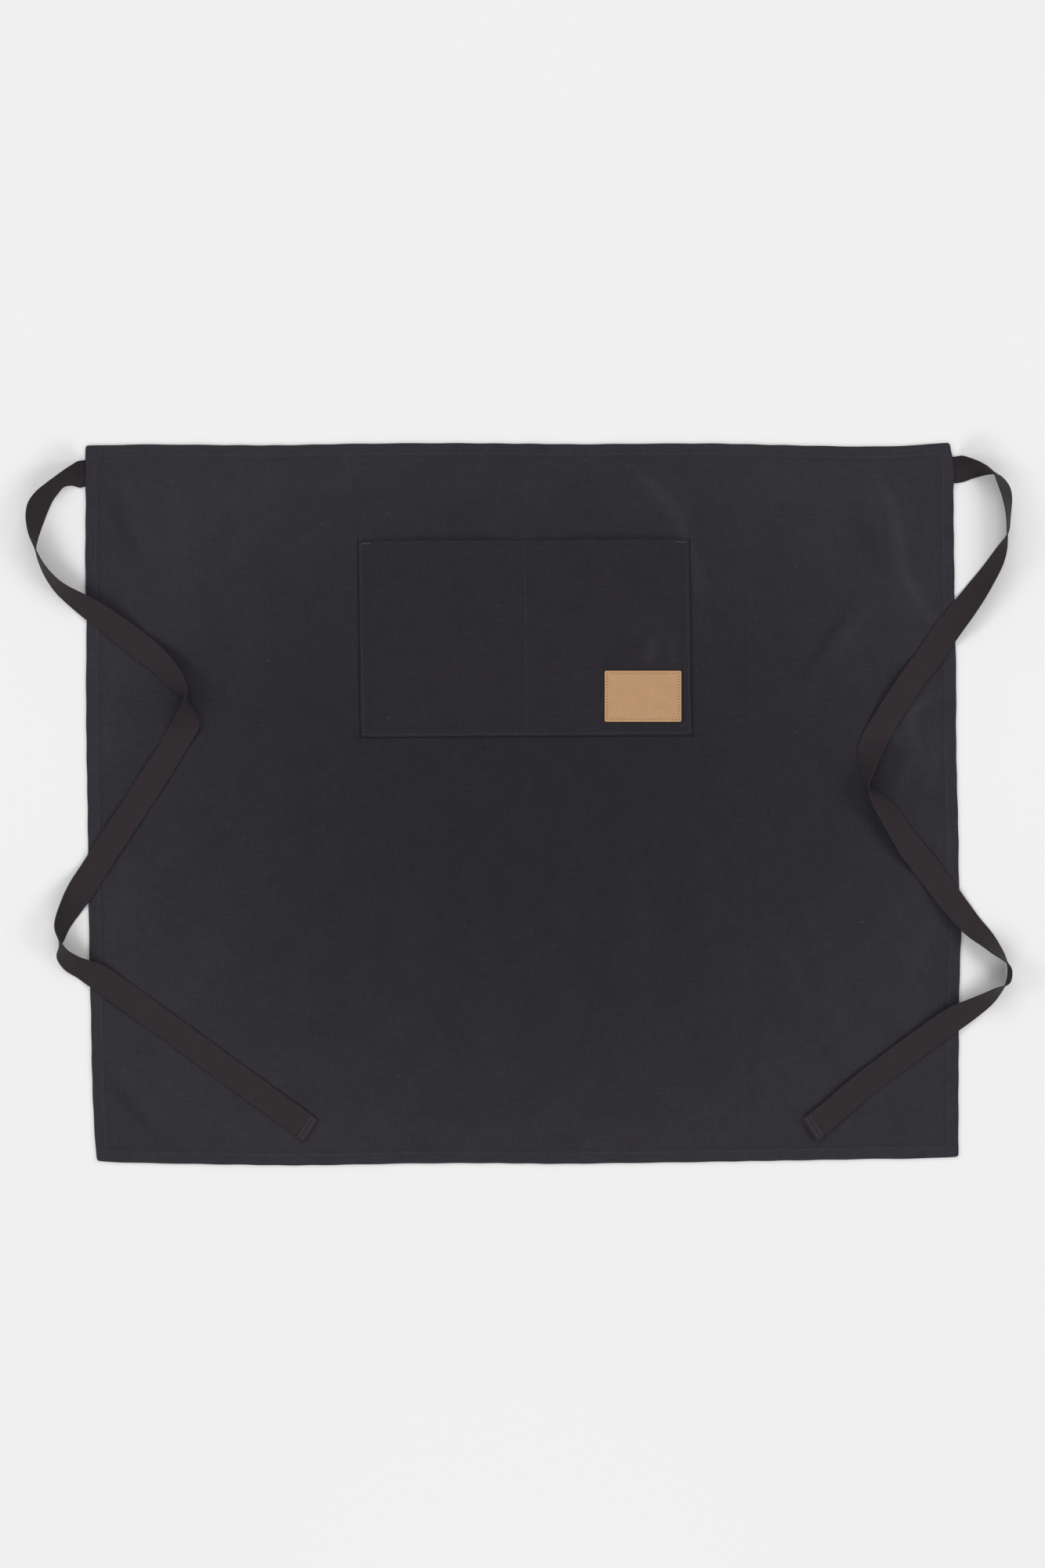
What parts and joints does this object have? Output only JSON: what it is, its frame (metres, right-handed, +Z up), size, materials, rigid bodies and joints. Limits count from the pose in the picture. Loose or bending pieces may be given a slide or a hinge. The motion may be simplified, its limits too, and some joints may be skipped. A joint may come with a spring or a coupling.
{
  "type": "waist apron",
  "caption": "Half-length canvas waist apron lying flat, hemmed on four sides, with a two-compartment patch pocket, a bare leather patch and a woven tape tie at each end of the waist.",
  "frame": {"origin": "middle of the lying apron's box, on the surface that it lies on", "axes": "+X towards the end of the waist edge that is on the right when looked down on, +Y from the bottom edge towards the waist edge, +Z up out of the front of the cloth"},
  "size_m": [0.9402, 0.6912, 0.027],
  "materials": {
    "canvas": "near-black cotton canvas, plain fine weave, matt",
    "tape": "near-black herringbone cotton tape, a little warmer than the canvas",
    "leather": "smooth vegetable-tanned leather, natural tan, with a row of stitch holes round its edge"
  },
  "bodies": {
    "root": {"apron_panel": "canvas", "patch_pocket": "canvas", "leather_patch": "leather", "tie_left": "tape", "tie_right": "tape"}
  },
  "joints": []
}
